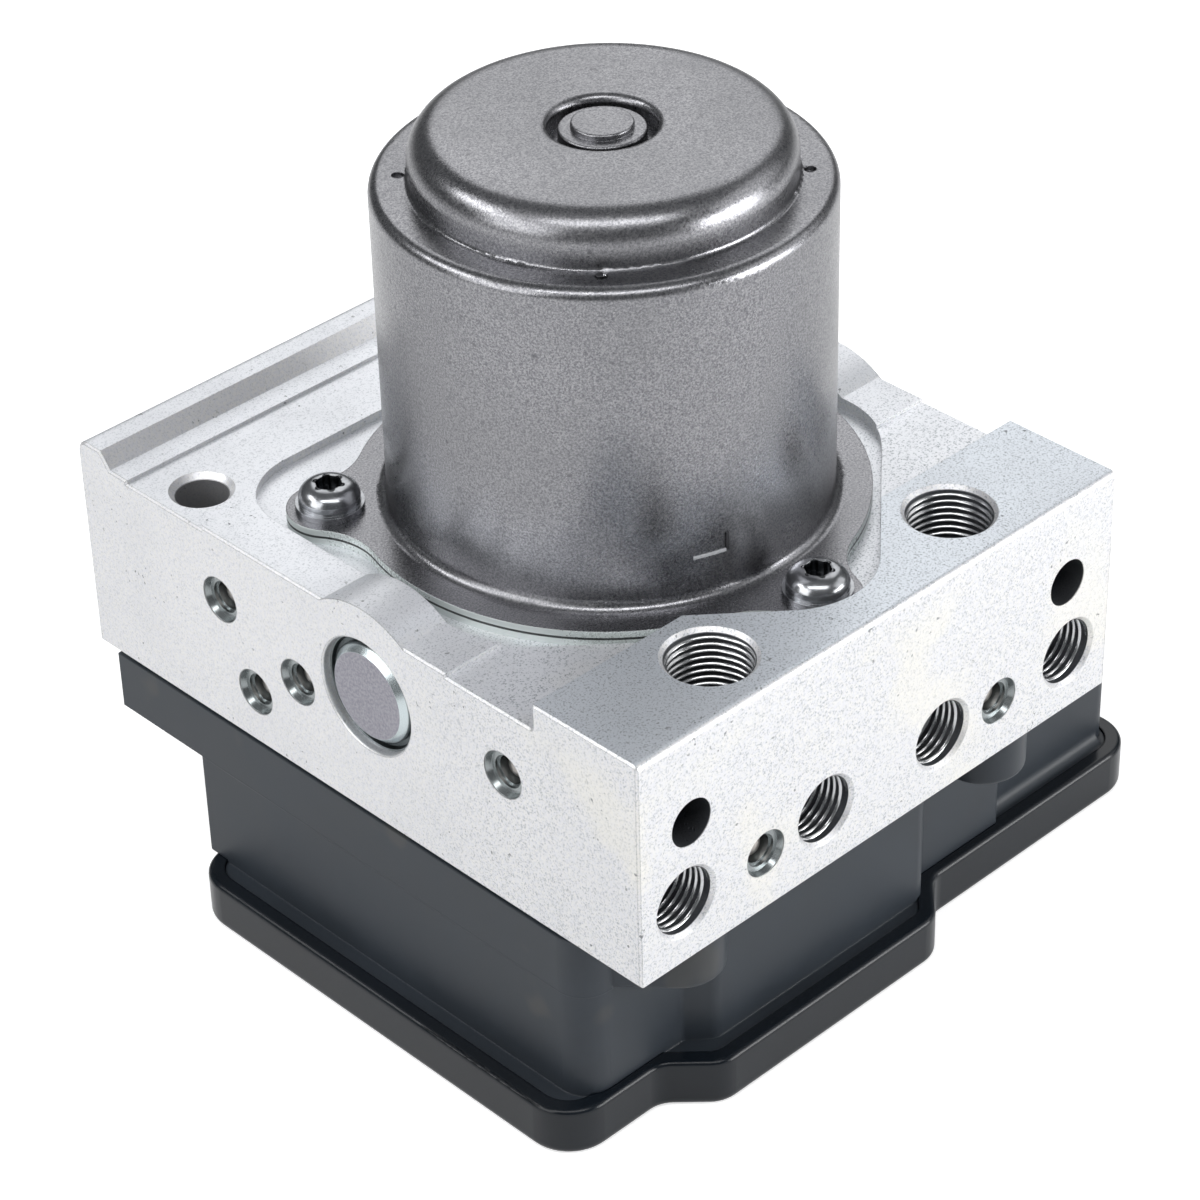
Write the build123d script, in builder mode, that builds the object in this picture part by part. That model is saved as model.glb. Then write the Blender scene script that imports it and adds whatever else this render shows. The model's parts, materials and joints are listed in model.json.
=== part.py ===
from build123d import *
from math import cos, radians, sin
import os

os.makedirs("parts", exist_ok=True)

# Anti-lock brake module: an aluminium valve block, the pump motor bolted on top of it and the
# electronics housing with its cover underneath. Sizes are in millimetres and +Z is up.
# The origin lies on the motor axis, on the underside of the cover.
# The wheel ports face -Y, the inlet ports face +Z and the connector stands at the +X end.

# Valve block
block_width = 88.0
block_depth = 106.0
block_height = 34.0
axis_to_port_face = 49.0
electronics_height = 33.0
bar_depth = 17.9
milled_drop = 3.8
raw_rise = 0.5
front_milled_depth = 15.5
rear_milled_reach = 25.5
rear_milled_depth = 15.4
ridge_drop = 1.0
ridge_depth = 6.5
ridge_slope = 1.8
pump_drop = 14.7
pump_bulge_radius = 13.7
bar_edge_radius = 0.9
step_fillet = 0.6
edge_break = 0.3

base_z = electronics_height
bar_top_z = base_z + block_height
milled_z = bar_top_z - milled_drop
raw_z = milled_z + raw_rise
ridge_z = bar_top_z - ridge_drop
pump_z = bar_top_z - pump_drop
port_face_y = -axis_to_port_face
back_face_y = block_depth - axis_to_port_face
side_x = block_width / 2

# Motor pocket in the top of the block
pocket_depth = 5.0
pocket_side_gap = 2.1
pocket_back_gap = 2.0
pocket_ear_gap = 0.5
pocket_corner_radius = 11.0
pocket_front_radius = 12.0
pocket_side_radius = 14.0
pocket_front_angle = 41.7
pocket_floor_z = bar_top_z - pocket_depth
lead_bore_radius = 4.5

# Ports and holes of the block
port_radius = 4.68
port_chamfer_radius = 5.2
port_length = 11.0
port_height = 9.0
outer_port_x = 36.0
inner_port_x = 11.0
inlet_radius = 5.68
inlet_chamfer_radius = 6.3
inlet_length = 13.0
inlet_x = 22.0
inlet_setback = 9.5
passage_radius = 1.5
mounting_radius = 3.35
mounting_length = 16.0
mounting_x = 35.0
mounting_height = 20.8
corner_bore_radius = 3.6
corner_bore_chamfer_radius = 4.45
corner_bore_inset = 6.2
corner_bore_backset = 18.3
corner_seat_height = 8.0

# Expander plugs: a stepped sleeve in each bore with a ball pressed into it
plug_radius = 3.3
plug_length = 6.7
plug_mouth_radius = 2.95
plug_ledge_drop = 0.9
plug_bore_radius = 2.3
plug_bore_drop = 1.5
ball_radius = 2.05
ball_drop = 1.7
plug_spacing_x = 22.0
plug_height = 8.55
side_plug_places = [(77.7, 20.4), (62.7, 14.6), (71.8, 8.4), (23.6, 20.4)]

# Pump
eccentric_offset = 1.0
eccentric_radius = 6.4
ring_radius = 9.0
ring_width = 8.0
crank_bore_radius = 12.0
crank_bore_clearance = 1.3
piston_radius = 4.0
piston_length = 17.0
piston_clearance = 0.1
sleeve_radius = 6.2
sleeve_wall = 2.1
pump_plug_radius = 8.3
pump_plug_length = 6.9
pump_plug_recess = 0.2
pump_plug_disc_radius = 6.2
pump_plug_chamfer = 1.0
pump_plug_groove = 1.8
pump_plug_bead = 0.5
pump_bore_chamfer = 0.2
spring_wire = 0.8
spring_turns = 4
fit_gap = 0.05
shaft_radius = 4.0

# Valves and their coils
valve_spacing = 20.0
inlet_valve_y = -27.5
outlet_valve_y = -12.2
valve_collar_radius = 5.0
valve_collar_length = 4.0
valve_body_radius = 3.8
inlet_valve_length = 14.5
outlet_valve_length = 11.0
valve_dome_radius = 3.2
valve_dome_length = 17.5
valve_dome_chamfer = 0.9
coil_radius = 7.3
coil_flange = 1.4
coil_gap = 0.8
coil_clearance = 0.15
contact_spacing = 4.0
contact_offset = 4.0
contact_width = 0.7
slot_gap = 0.2

# Low-pressure accumulators
accumulator_x = 16.0
accumulator_y = 24.0
accumulator_radius = 9.5
accumulator_depth = 20.0
accumulator_travel = 6.0
accumulator_wall = 1.6
accumulator_cap_length = 2.5

# Motor
flange_reach = 4.8
sheet_thickness = 1.1
screw_reach = 2.7
screw_angles = [-90.0, 37.0, 143.0]
ear_radius = 5.8
ear_blend_radius = 10.0
can_radius = 29.5
can_wall = 1.6
brush_gear_height = 8.3
winding_room = 4.0
can_foot_fillet = 1.4
can_shoulder_radius = 1.5
dome_radius = 24.5
dome_height = 7.1
dome_edge_radius = 4.2
dome_foot_fillet = 0.45
recess_radius = 6.85
recess_depth = 2.8
recess_lip = 1.1
button_radius = 5.6
button_drop = 0.7
button_disc_radius = 4.0
punch_radius = 0.8
punch_depth = 0.7
cap_thickness = 1.9
rear_bearing_radius = 4.1
rear_bearing_width = 4.2
magnet_thickness = 5.4
magnet_length = 32.0
magnet_arc = 74.0
air_gap = 0.7
core_length = 24.0
slot_count = 12
commutator_radius = 8.0
commutator_length = 8.0
brush_width = 6.0
brush_length = 9.0
bearing_radius = 8.0
bearing_width = 4.8

# Motor screws
screw_radius = 2.45
screw_length = 14.0
screw_end_gap = 2.2
sheet_hole_gap = 0.75
washer_radius = 4.6
washer_thickness = 0.9
head_radius = 4.1
head_height = 2.7
head_side = 1.1
head_dome_radius = 3.2
head_dome_drop = 0.4
head_flat_radius = 1.8
recess_root_radius = 1.7
recess_tip_radius = 0.5
recess_length = 1.8

# Electronics housing and cover
cover_height = 7.4
cover_floor = 2.0
cover_edge_radius = 1.2
cover_top_radius = 0.7
cover_gap = 0.1
lip_rise = -0.3
lip_inset = 2.4
wall_inset = 4.6
rim_reach = 4.6
rim_setback = 9.2
bump_setback = 3.3
rim_tuck = 1.0
connector_reach = 21.5
bump_left = -26.0
bump_right = 15.0
bump_run = 6.0
bump_wall_setback = 7.6
body_back_reach = 3.1
tier_height = 9.3
tier_setback = 20.0
tier_backset = 3.8
tier_edge_radius = 1.2
foot_fillet = 1.7
panel_left_setback = 10.5
panel_left_x = -26.5
panel_right_setback = 10.8
panel_right_x = 36.5
housing_wall = 2.2
divider_z = 12.5
divider_thickness = 2.0
roof_thickness = 2.2
side_deck_z = 20.0
seal_gap = 0.4
seal_inset = 2.2
seal_width = 1.4
seal_depth = 1.1
lobe_radius = 6.0
lobe_edge_radius = 0.7
lobe_x = 29.0
lobe_setback = 8.3
locating_pin_radius = 1.4
locating_pin_height = 4.0
connector_gap = 1.2
connector_setback = 13.4
connector_width = 17.8
connector_length = 50.0
connector_rise = 8.0
connector_corner = 2.5
connector_wall = 1.8
connector_floor_z = 14.0
board_z = 7.6
board_thickness = 1.6
board_gap = 0.8
lead_y = 21.5
housing_screw_radius = 2.5

# Places worked out from the sizes above
flange_radius = can_radius + flange_reach
screw_circle_radius = flange_radius + screw_reach
pocket_half_width = flange_radius + pocket_side_gap
pocket_back = flange_radius + pocket_back_gap
pocket_front = screw_circle_radius + ear_radius + pocket_ear_gap
valve_columns = [(i - 1.5) * valve_spacing for i in range(4)]
flange_bottom_z = pocket_floor_z + sheet_thickness
flange_top_z = flange_bottom_z + sheet_thickness
magnet_z = flange_top_z + brush_gear_height
shoulder_z = magnet_z + magnet_length + winding_room + can_wall
dome_z = shoulder_z + dome_height
housing_top_z = base_z - seal_gap
tier_z = base_z - tier_height
rim_left = -side_x - rim_reach
rim_right = side_x + connector_reach
rim_front = port_face_y + rim_setback
bump_front = port_face_y + bump_setback
body_back = accumulator_y + accumulator_radius + body_back_reach
rim_back = body_back - rim_tuck
left_wall_x = rim_left + wall_inset
tier_front = port_face_y + tier_setback
tier_back = back_face_y - tier_backset
lip_height = cover_height + lip_rise
bump_wall_y = port_face_y + bump_wall_setback
lobe_y = port_face_y + lobe_setback
corner_bore_x = side_x - corner_bore_inset
corner_bore_y = back_face_y - corner_bore_backset
coil_z = divider_z + divider_thickness
coil_length = base_z - coil_gap - coil_z
screw_points = [
    (screw_circle_radius * cos(radians(a)), screw_circle_radius * sin(radians(a)))
    for a in screw_angles
]


def save(builder, name):
    """Label a finished piece and write it as its own file."""
    builder.part.label = name
    export_step(builder.part, f"parts/{name}.step")


def rim_outline(inset):
    """Outline of the cover's rim, moved inwards by inset."""
    with BuildSketch() as outline:
        with BuildLine():
            FilletPolyline(
                (rim_left, rim_back),
                (rim_left, rim_front),
                (bump_left - bump_run, rim_front),
                (bump_left, bump_front),
                (bump_right, bump_front),
                (bump_right + bump_run, rim_front),
                (rim_right, rim_front),
                (rim_right, rim_back),
                radius=[6.5, 6.5, 4.0, 5.0, 5.0, 4.0, 6.5, 6.5],
                close=True,
            )
        make_face()
        if inset:
            offset(amount=-inset)
    return outline.sketch


def spring(mean_radius, start, end, axis):
    """Coil spring of square wire that fills the length between two points."""
    height = (Vector(*end) - Vector(*start)).length - spring_wire
    first = Vector(*start) + Vector(*axis) * (spring_wire / 2)
    with BuildPart() as coil:
        with BuildLine() as line:
            Helix(height / spring_turns, height, mean_radius, center=first, direction=axis)
        with BuildSketch(Plane(origin=line.line @ 0, z_dir=line.line % 0)):
            Rectangle(spring_wire, spring_wire)
        sweep(is_frenet=True)
    return coil


# Outline of the motor flange: three screw ears that flow into its edge
with BuildSketch() as flange_outline:
    Circle(flange_radius)
    with Locations(*screw_points):
        Circle(ear_radius)
    fillet(flange_outline.vertices(), radius=ear_blend_radius)

# Valve block: extruded profile, then the pocket, bores and ports
with BuildPart() as valve_block:
    front_flat_y = port_face_y + bar_depth
    front_raw_y = front_flat_y + front_milled_depth
    rear_flat_y = back_face_y - rear_milled_reach
    rear_raw_y = rear_flat_y + rear_milled_depth
    ridge_y = back_face_y - ridge_depth
    bulge_rise = raw_z - pump_z
    bulge_half = (pump_bulge_radius**2 - bulge_rise**2) ** 0.5
    with BuildSketch(Plane.YZ) as profile:
        with BuildLine():
            Polyline(
                (-bulge_half, raw_z),
                (front_raw_y, raw_z),
                (front_raw_y, milled_z),
                (front_flat_y, milled_z),
                (front_flat_y, bar_top_z),
                (port_face_y, bar_top_z),
                (port_face_y, base_z),
                (back_face_y, base_z),
                (back_face_y, ridge_z),
                (ridge_y + ridge_slope, ridge_z),
                (ridge_y, raw_z),
                (rear_raw_y, raw_z),
                (rear_raw_y, milled_z),
                (rear_flat_y, milled_z),
                (rear_flat_y, raw_z),
                (bulge_half, raw_z),
            )
            ThreePointArc((-bulge_half, raw_z), (0, pump_z + pump_bulge_radius), (bulge_half, raw_z))
        make_face()
        corners = profile.vertices()
        fillet(corners.sort_by_distance((port_face_y, bar_top_z))[0], radius=bar_edge_radius)
        fillet(profile.vertices().sort_by_distance((front_flat_y, milled_z))[0], radius=step_fillet)
        fillet(profile.vertices().sort_by_distance((back_face_y, ridge_z))[0], radius=ridge_slope)
    extrude(amount=side_x, both=True)
    sides = valve_block.faces().filter_by(Axis.X).edges()
    chamfer(sides.filter_by(GeomType.LINE), length=edge_break)

    # Pocket for the motor flange
    pocket_apex_y = -pocket_front - pocket_front_radius * (1 / cos(radians(pocket_front_angle)) - 1)
    pocket_side_y = pocket_apex_y + pocket_half_width * sin(radians(pocket_front_angle)) / cos(
        radians(pocket_front_angle)
    )
    with BuildSketch(Plane.XY.offset(pocket_floor_z)):
        with BuildLine():
            FilletPolyline(
                (-pocket_half_width, pocket_back),
                (-pocket_half_width, pocket_side_y),
                (0, pocket_apex_y),
                (pocket_half_width, pocket_side_y),
                (pocket_half_width, pocket_back),
                radius=[
                    pocket_corner_radius,
                    pocket_side_radius,
                    pocket_front_radius,
                    pocket_side_radius,
                    pocket_corner_radius,
                ],
                close=True,
            )
        make_face()
    extrude(amount=pocket_depth + 1, mode=Mode.SUBTRACT)

    # Crank bore, tapped holes for the motor screws and the bore for the motor leads
    with Locations((0, 0, pocket_floor_z)):
        Hole(crank_bore_radius, depth=pocket_floor_z - pump_z + ring_width / 2 + crank_bore_clearance)
    with Locations((0, 0, pump_z - ring_width / 2)):
        Hole(valve_collar_radius + fit_gap, depth=6.5)
    with Locations(*[(x, y, pocket_floor_z) for x, y in screw_points]):
        Hole(screw_radius + fit_gap, depth=screw_length + screw_end_gap - 2 * sheet_thickness)
    with Locations((0, lead_y, pocket_floor_z)):
        Hole(lead_bore_radius, depth=block_height)

    # Pump bore from both sides, with the seats of the staked plugs
    for side in (-1, 1):
        face = Plane((side * side_x, 0, pump_z), z_dir=(side, 0, 0))
        with Locations(face):
            Hole(sleeve_radius + fit_gap, depth=side_x - crank_bore_radius / 2)
            CounterSinkHole(
                pump_plug_radius + fit_gap,
                pump_plug_radius + fit_gap + pump_bore_chamfer,
                depth=pump_plug_length + pump_plug_recess,
                counter_sink_angle=90,
            )

    # Wheel ports and mounting holes in the port face
    for x in (-outer_port_x, -inner_port_x, inner_port_x, outer_port_x):
        with Locations(Plane((x, port_face_y, base_z + port_height), z_dir=(0, -1, 0))):
            CounterSinkHole(port_radius, port_chamfer_radius, depth=port_length, counter_sink_angle=90)
            Hole(passage_radius, depth=port_length + 4)
    for x in (-mounting_x, mounting_x):
        with Locations(Plane((x, port_face_y, base_z + mounting_height), z_dir=(0, -1, 0))):
            Hole(mounting_radius, depth=mounting_length)

    # Inlet ports in the bar and their passages down to the cross drillings
    for x in (-inlet_x, inlet_x):
        with Locations((x, port_face_y + inlet_setback, bar_top_z)):
            CounterSinkHole(inlet_radius, inlet_chamfer_radius, depth=inlet_length, counter_sink_angle=90)
            Hole(passage_radius, depth=block_height - plug_height)

    # Bores of the ball plugs
    for x in (-plug_spacing_x, plug_spacing_x):
        with Locations(Plane((x, port_face_y, base_z + plug_height), z_dir=(0, -1, 0))):
            Hole(plug_radius + fit_gap, depth=plug_length)
            Hole(passage_radius, depth=inlet_setback + 4)
    for side in (-1, 1):
        for setback, height in side_plug_places:
            place = (side * side_x, port_face_y + setback, base_z + height)
            with Locations(Plane(place, z_dir=(side, 0, 0))):
                Hole(plug_radius + fit_gap, depth=plug_length)
                Hole(passage_radius, depth=plug_length + 7)

    # Deep corner bores for the screws that hold the electronics
    for side in (-1, 1):
        with Locations((side * corner_bore_x, corner_bore_y, milled_z)):
            CounterSinkHole(
                corner_bore_radius,
                corner_bore_chamfer_radius,
                depth=milled_z - base_z - corner_seat_height,
                counter_sink_angle=90,
            )
            Hole(housing_screw_radius + 0.25, depth=block_height)

    # Stepped seats for the valves and the accumulators in the base
    for x in valve_columns:
        for y, length in ((inlet_valve_y, inlet_valve_length), (outlet_valve_y, outlet_valve_length)):
            with Locations(Plane((x, y, base_z), z_dir=(0, 0, -1))):
                Hole(valve_collar_radius + fit_gap, depth=valve_collar_length)
                Hole(valve_body_radius + fit_gap, depth=length)
    for side in (-1, 1):
        with Locations(Plane((side * accumulator_x, accumulator_y, base_z), z_dir=(0, 0, -1))):
            Hole(accumulator_radius + fit_gap, depth=accumulator_depth)

    # Holes for the locating pins of the housing
    for side in (-1, 1):
        with Locations(Plane((side * lobe_x, lobe_y, base_z), z_dir=(0, 0, -1))):
            Hole(locating_pin_radius + 0.1, depth=locating_pin_height + 1)
save(valve_block, "valve_block")

# Motor can: deep-drawn steel cup with a flange, a dome and a bearing boss
with BuildPart() as motor_can:
    with BuildSketch(Plane.XZ) as section:
        with BuildLine():
            Polyline(
                (flange_radius - 2, flange_bottom_z),
                (flange_radius - 2, flange_top_z),
                (can_radius, flange_top_z),
                (can_radius, shoulder_z),
                (dome_radius, shoulder_z),
                (dome_radius, dome_z),
                (recess_radius, dome_z),
                (recess_radius, dome_z - recess_depth),
                (button_radius, dome_z - recess_depth),
                (button_radius, dome_z - button_drop),
                (button_disc_radius, dome_z - button_drop),
                (button_disc_radius, dome_z + 0.1),
                (0, dome_z + 0.1),
                (0, dome_z - cap_thickness),
                (rear_bearing_radius + fit_gap, dome_z - cap_thickness),
                (rear_bearing_radius + fit_gap, dome_z - recess_depth - can_wall),
                (recess_radius + can_wall, dome_z - recess_depth - can_wall),
                (recess_radius + can_wall, dome_z - can_wall),
                (dome_radius - can_wall, dome_z - can_wall),
                (dome_radius - can_wall, shoulder_z - can_wall),
                (can_radius - can_wall, shoulder_z - can_wall),
                (can_radius - can_wall, flange_bottom_z),
                (flange_radius - 2, flange_bottom_z),
            )
        make_face()
        for place, radius in (
            ((can_radius, flange_top_z), can_foot_fillet),
            ((can_radius, shoulder_z), can_shoulder_radius),
            ((dome_radius, shoulder_z), dome_foot_fillet),
            ((dome_radius, dome_z), dome_edge_radius),
            ((recess_radius, dome_z), recess_lip),
            ((button_radius, dome_z - button_drop), 0.3),
            ((button_disc_radius, dome_z + 0.1), 0.3),
            ((dome_radius - can_wall, dome_z - can_wall), dome_edge_radius - can_wall),
        ):
            fillet(section.vertices().sort_by_distance(place)[0], radius=radius)
    revolve(axis=Axis.Z)
    with BuildSketch(Plane.XY.offset(flange_bottom_z)):
        add(flange_outline.sketch)
        Circle(flange_radius - 2.5, mode=Mode.SUBTRACT)
    extrude(amount=sheet_thickness)
    with Locations(*[(x, y, flange_top_z) for x, y in screw_points]):
        Hole(screw_radius + sheet_hole_gap, depth=sheet_thickness)
    # Punch marks at the foot of the dome
    with Locations(Plane.XY.offset(shoulder_z)):
        with PolarLocations(dome_radius + 1.2, 4, start_angle=45):
            Hole(punch_radius, depth=punch_depth)
save(motor_can, "motor_can")

# End plate under the can, drawn down into a cup for the lower bearing
bearing_top_z = flange_bottom_z - 0.2
bearing_bottom_z = bearing_top_z - bearing_width
with BuildPart() as motor_end_plate:
    with BuildSketch(Plane.XY.offset(pocket_floor_z)):
        add(flange_outline.sketch)
    extrude(amount=sheet_thickness)
    with BuildSketch(Plane.XY.offset(bearing_bottom_z - sheet_thickness)):
        Circle(bearing_radius + fit_gap + sheet_thickness)
    extrude(amount=pocket_floor_z - bearing_bottom_z + sheet_thickness)
    with Locations((0, 0, flange_bottom_z)):
        Hole(bearing_radius + fit_gap, depth=flange_bottom_z - bearing_bottom_z)
        Hole(bearing_radius - 2, depth=block_height)
    with Locations((0, lead_y, flange_bottom_z)):
        Hole(lead_bore_radius, depth=sheet_thickness)
    with Locations(*[(x, y, flange_bottom_z) for x, y in screw_points]):
        Hole(screw_radius + sheet_hole_gap, depth=sheet_thickness)
save(motor_end_plate, "motor_end_plate")

# Three pan-head screws with washers and six-lobed recesses
washer_z = flange_top_z + washer_thickness
head_z = washer_z + head_height
with BuildPart() as motor_screws:
    for x, y in screw_points:
        with BuildSketch(Plane.XZ.offset(-y)):
            with BuildLine():
                Polyline(
                    (x + head_flat_radius, head_z),
                    (x, head_z),
                    (x, flange_top_z - screw_length),
                    (x + screw_radius, flange_top_z - screw_length),
                    (x + screw_radius, flange_top_z),
                    (x + washer_radius, flange_top_z),
                    (x + washer_radius, washer_z),
                    (x + head_radius, washer_z),
                    (x + head_radius, washer_z + head_side),
                )
                ThreePointArc(
                    (x + head_radius, washer_z + head_side),
                    (x + head_dome_radius, head_z - head_dome_drop),
                    (x + head_flat_radius, head_z),
                )
            make_face()
        revolve(axis=Axis((x, y, 0), (0, 0, 1)))
        with BuildSketch(Plane.XY.offset(head_z)):
            with Locations((x, y)):
                Circle(recess_root_radius)
                with PolarLocations(recess_root_radius, 6):
                    Circle(recess_tip_radius)
        extrude(amount=-recess_length, mode=Mode.SUBTRACT)
save(motor_screws, "motor_screws")

# Four magnets on the inside of the can
magnet_radius = can_radius - can_wall - 0.1
with BuildPart() as motor_magnets:
    with BuildSketch(Plane.XY.offset(magnet_z)):
        for index in range(4):
            start = 45 + 90 * index - magnet_arc / 2
            with BuildLine():
                outer_arc = CenterArc((0, 0), magnet_radius, start, magnet_arc)
                inner_arc = CenterArc((0, 0), magnet_radius - magnet_thickness, start, magnet_arc)
                Line(outer_arc @ 0, inner_arc @ 0)
                Line(outer_arc @ 1, inner_arc @ 1)
            make_face()
    extrude(amount=magnet_length)
save(motor_magnets, "motor_magnets")

# Rotor: slotted core, winding, commutator and the shaft with its eccentric
core_radius = magnet_radius - magnet_thickness - air_gap
core_z = magnet_z + (magnet_length - core_length) / 2
with BuildPart() as armature_core:
    with BuildSketch(Plane.XY.offset(core_z)):
        Circle(core_radius)
        with PolarLocations(core_radius, slot_count):
            Rectangle(4, 1.4, mode=Mode.SUBTRACT)
        with PolarLocations(core_radius - 6, slot_count):
            Rectangle(8, 4.2, mode=Mode.SUBTRACT)
        Circle(shaft_radius, mode=Mode.SUBTRACT)
    extrude(amount=core_length)
save(armature_core, "armature_core")

winding_rise = 3.5
with BuildPart() as armature_winding:
    with BuildSketch(Plane.XY.offset(core_z)):
        with PolarLocations(core_radius - 6, slot_count):
            Rectangle(7.6, 3.8)
    extrude(amount=core_length)
    for z in (core_z - winding_rise, core_z + core_length):
        with BuildSketch(Plane.XY.offset(z)):
            Circle(core_radius - 2.2)
            Circle(shaft_radius + 4.4, mode=Mode.SUBTRACT)
        extrude(amount=winding_rise)
save(armature_winding, "armature_winding")

commutator_z = core_z - winding_rise - 0.6 - commutator_length
with BuildPart() as commutator:
    with BuildSketch(Plane.XY.offset(commutator_z)):
        Circle(commutator_radius)
        with PolarLocations(commutator_radius, slot_count):
            Rectangle(1.2, 0.5, mode=Mode.SUBTRACT)
        Circle(shaft_radius, mode=Mode.SUBTRACT)
    extrude(amount=commutator_length)
save(commutator, "commutator")

tip_radius = 2.5
tip_z = dome_z - cap_thickness - 0.4
with BuildPart() as motor_shaft:
    with BuildSketch(Plane.XY.offset(bearing_bottom_z)):
        Circle(shaft_radius - fit_gap)
    extrude(amount=core_z + core_length + winding_rise + 1 - bearing_bottom_z)
    with BuildSketch(Plane.XY.offset(bearing_top_z + 0.4)):
        Circle(shaft_radius)
    extrude(amount=core_z + core_length + winding_rise - bearing_top_z)
    with BuildSketch(Plane.XY.offset(core_z + core_length)):
        Circle(tip_radius - fit_gap)
    extrude(amount=tip_z - core_z - core_length)
    with BuildSketch(Plane.XY.offset(pump_z - ring_width / 2 + 0.2)):
        with Locations((0, eccentric_offset)):
            Circle(eccentric_radius)
    extrude(amount=ring_width - 0.4)
    with BuildSketch(Plane.XY.offset(pump_z - ring_width / 2 - 4.5)):
        Circle(3.0 - fit_gap)
    extrude(amount=bearing_bottom_z - pump_z + ring_width / 2 + 4.5)
save(motor_shaft, "motor_shaft")

with BuildPart() as pump_ring:
    with BuildSketch(Plane.XY.offset(pump_z - ring_width / 2 + 0.2)):
        with Locations((0, eccentric_offset)):
            Circle(ring_radius)
            Circle(eccentric_radius, mode=Mode.SUBTRACT)
    extrude(amount=ring_width - 0.4)
save(pump_ring, "pump_ring")

# Bearings that stay in the can, the end plate and the block
with BuildPart() as rear_bearing:
    with BuildSketch(Plane.XY.offset(dome_z - cap_thickness - rear_bearing_width)):
        Circle(rear_bearing_radius)
        Circle(tip_radius, mode=Mode.SUBTRACT)
    extrude(amount=rear_bearing_width)
save(rear_bearing, "rear_bearing")

with BuildPart() as front_bearing:
    with BuildSketch(Plane.XY.offset(bearing_bottom_z)):
        Circle(bearing_radius)
        Circle(shaft_radius, mode=Mode.SUBTRACT)
    extrude(amount=bearing_width)
save(front_bearing, "front_bearing")

with BuildPart() as shaft_bush:
    with BuildSketch(Plane.XY.offset(pump_z - ring_width / 2 - 6.5)):
        Circle(valve_collar_radius)
    extrude(amount=5)
    with Locations((0, 0, pump_z - ring_width / 2 - 1.5)):
        Hole(3.0, depth=3.6)
save(shaft_bush, "shaft_bush")

# Brush gear
holder_z = flange_bottom_z
brush_z = commutator_z + 2
with BuildPart() as brush_holder:
    with BuildSketch(Plane.XY.offset(holder_z)):
        Circle(can_radius - can_wall - 0.2)
        Circle(commutator_radius + 1.4, mode=Mode.SUBTRACT)
    extrude(amount=2.4)
    for side in (-1, 1):
        with Locations((side * (commutator_radius + 1.2 + brush_length / 2 + 3), 0, brush_z - 1.2)):
            Box(brush_length + 6, brush_width + 2.4, 1.2, align=(Align.CENTER, Align.CENTER, Align.MIN))
        with BuildSketch(Plane.XY.offset(holder_z)):
            for edge in (-1, 1):
                with Locations(
                    (side * (commutator_radius + 1.2 + brush_length / 2 + 3), edge * (brush_width / 2 + 0.65))
                ):
                    Rectangle(brush_length + 6, 1.1)
        extrude(amount=brush_z + 4 - holder_z)
save(brush_holder, "brush_holder")

for side, name in ((-1, "left"), (1, "right")):
    with BuildPart() as brush:
        with BuildSketch(Plane.XY.offset(brush_z)):
            with Locations((side * (commutator_radius + brush_length / 2), 0)):
                Rectangle(brush_length, brush_width)
            Circle(commutator_radius + fit_gap, mode=Mode.SUBTRACT)
        extrude(amount=4.5)
    save(brush, f"brush_{name}")

# Motor leads down through the block to the circuit board
with BuildPart() as motor_lead_sleeve:
    with BuildSketch(Plane.XY.offset(base_z - 6)):
        with Locations((0, lead_y)):
            Circle(4.4)
            with Locations((-1.6, 0), (1.6, 0)):
                Rectangle(1.2, 3, mode=Mode.SUBTRACT)
    extrude(amount=holder_z - base_z + 6)
save(motor_lead_sleeve, "motor_lead_sleeve")

with BuildPart() as motor_lead_pins:
    with BuildSketch(Plane.XY.offset(board_z + board_thickness)):
        with Locations((-1.6, lead_y), (1.6, lead_y)):
            Rectangle(0.8, 2.6)
    extrude(amount=holder_z - board_z - board_thickness)
save(motor_lead_pins, "motor_lead_pins")

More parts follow.
